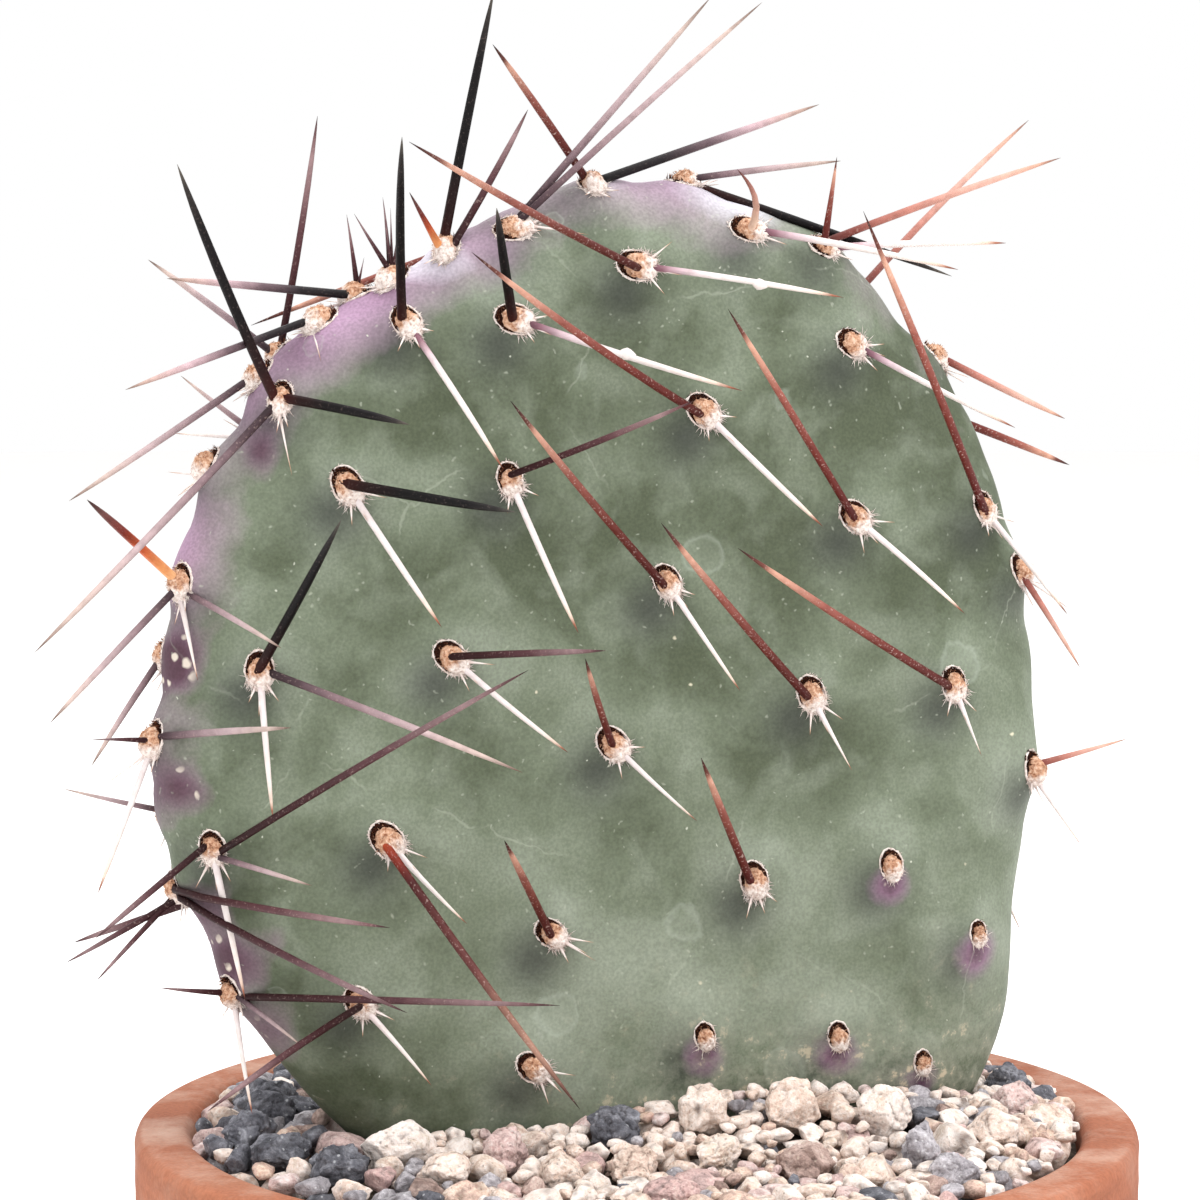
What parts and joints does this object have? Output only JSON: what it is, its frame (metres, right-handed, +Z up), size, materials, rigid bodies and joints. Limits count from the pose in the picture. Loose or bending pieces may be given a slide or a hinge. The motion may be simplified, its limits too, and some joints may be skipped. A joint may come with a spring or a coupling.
{
  "type": "potted prickly pear cactus",
  "caption": "Flat rounded cactus pad with long dark and pale spines, standing in coarse mineral grit in a plain round clay pot that rests on its flat foot.",
  "frame": {"origin": "centre of the pot's flat foot", "axes": "+Z up from the foot along the pot's axis; the pad's broad front faces -Y and its width runs along X"},
  "size_m": [0.1329, 0.119, 0.2369],
  "materials": {
    "terracotta": "matte unglazed clay",
    "potting_mix": "matte mineral potting mix",
    "grit": "matte mixed mineral grit",
    "cactus": "waxy matte living skin",
    "dark_stone": "matte dark lava",
    "cream_stone": "matte cream pebble",
    "pink_stone": "matte pinkish granite",
    "tan_stone": "matte tan stone",
    "pumice": "matte pitted pumice",
    "brown_stone": "matte brown stone",
    "grey_stone": "matte grey stone"
  },
  "bodies": {
    "root": {"pot": "terracotta", "soil": "potting_mix", "gravel_bed": "grit", "pad": "cactus", "stone_dark_01": "dark_stone", "stone_dark_02": "dark_stone", "stone_dark_03": "dark_stone", "stone_dark_04": "dark_stone", "stone_dark_05": "dark_stone", "stone_dark_06": "dark_stone", "stone_dark_07": "dark_stone", "stone_dark_08": "dark_stone", "stone_cream_01": "cream_stone", "stone_cream_02": "cream_stone", "stone_cream_03": "cream_stone", "stone_cream_04": "cream_stone", "stone_cream_05": "cream_stone", "stone_cream_06": "cream_stone", "stone_pink_01": "pink_stone", "stone_pink_02": "pink_stone", "stone_pink_03": "pink_stone", "stone_tan_01": "tan_stone", "stone_tan_02": "tan_stone", "stone_tan_03": "tan_stone", "stone_tan_04": "tan_stone", "stone_pumice_01": "pumice", "stone_pumice_02": "pumice", "stone_brown_01": "brown_stone", "stone_brown_02": "brown_stone", "stone_grey_01": "grey_stone", "stone_grey_02": "grey_stone", "stone_grey_03": "grey_stone"}
  },
  "joints": []
}
